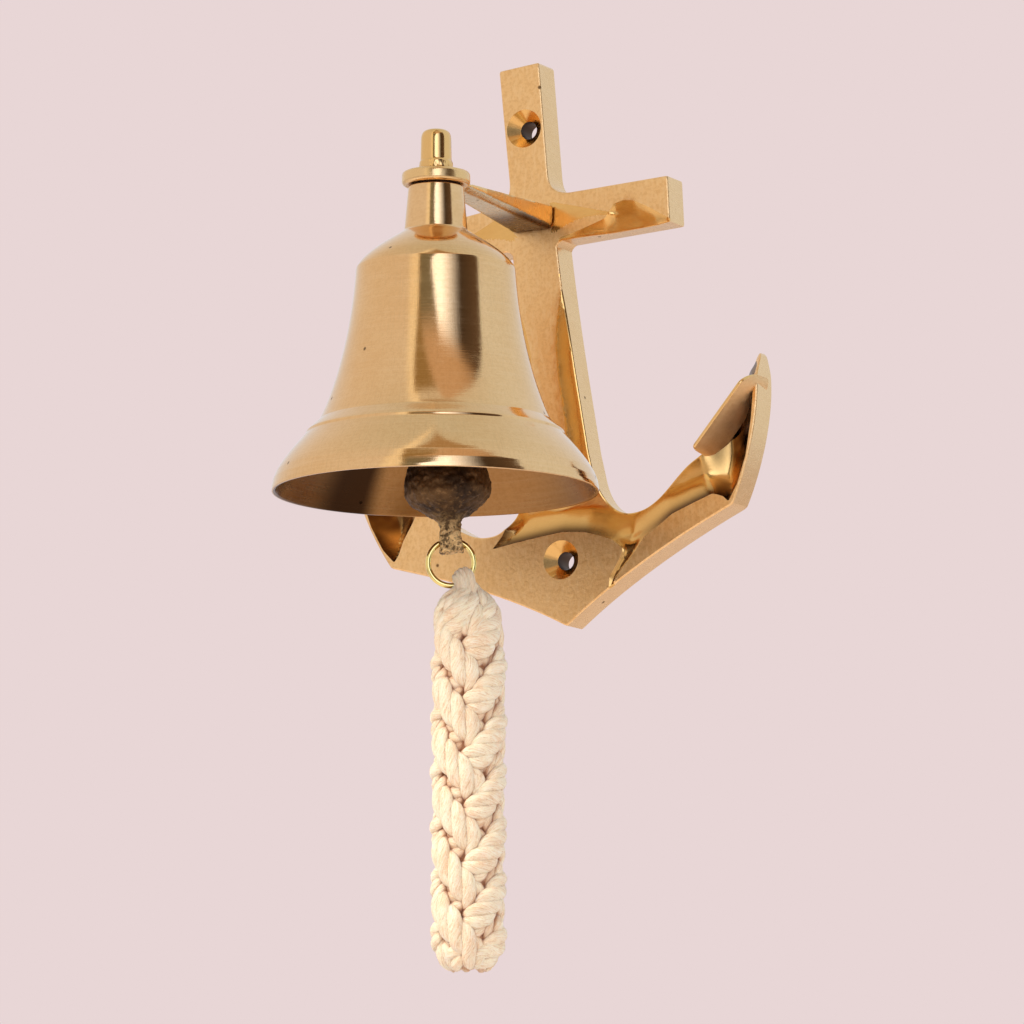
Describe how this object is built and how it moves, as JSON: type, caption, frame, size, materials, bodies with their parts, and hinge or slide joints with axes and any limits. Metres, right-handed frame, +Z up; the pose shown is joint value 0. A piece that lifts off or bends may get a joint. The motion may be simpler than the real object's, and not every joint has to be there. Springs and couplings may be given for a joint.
{
  "type": "ship bell",
  "caption": "Turned brass ship bell with a loose clapper and plaited cotton lanyard, hung from the arm of an anchor-shaped wall bracket.",
  "frame": {"origin": "on the wall plane, midway between the bracket's two screw holes", "axes": "+Z up, +Y into the wall, +X to the right of someone facing the wall"},
  "size_m": [0.1119, 0.0922, 0.2232],
  "materials": {
    "cast_brass": "brushed casting with polished relief",
    "turned_brass": "turned and lightly brushed",
    "bright_brass": "polished",
    "rough_cast": "rough as cast, tarnished",
    "fibre": "vulcanised fibre",
    "cotton": "soft cotton yarn"
  },
  "bodies": {
    "bracket": {"anchor": "cast_brass", "hanger_arm": "cast_brass", "arm_screw": "bright_brass"},
    "bell_group": {"bell": "turned_brass", "hanger_bolt": "bright_brass", "cap_nut": "bright_brass", "swivel_washer": "fibre", "crown_washer": "bright_brass", "crown_nut": "bright_brass"},
    "link_group": {"clapper_link": "bright_brass"},
    "clapper_group": {"clapper": "rough_cast"},
    "ring_group": {"split_ring": "bright_brass"},
    "lanyard_group": {"lanyard_loop": "cotton", "lanyard": "cotton"}
  },
  "joints": [
    {"name": "bell_swivel", "type": "hinge", "parent": "bracket", "child": "bell_group", "pos_m": [-0.00286, -0.0542, 0.03], "axis": [0, 0, 1], "continuous": true},
    {"name": "link_swing", "type": "hinge", "parent": "bell_group", "child": "link_group", "pos_m": [-0.00286, -0.0542, 0.0037], "axis": [0.8746, 0.4848, 0], "range_deg": [-7, 7]},
    {"name": "clapper_swing", "type": "hinge", "parent": "link_group", "child": "clapper_group", "pos_m": [-0.00286, -0.0542, -0.0013], "axis": [0.4848, -0.8746, 0], "range_deg": [-30, 25.5]},
    {"name": "ring_swing", "type": "hinge", "parent": "clapper_group", "child": "ring_group", "pos_m": [0.00035, -0.05242, -0.05387], "axis": [0.8746, 0.4848, 0], "range_deg": [-25, 25]},
    {"name": "lanyard_swing", "type": "hinge", "parent": "ring_group", "child": "lanyard_group", "pos_m": [0.00308, -0.05091, -0.06312], "axis": [0.4848, -0.8746, 0], "range_deg": [-25, 25]}
  ]
}
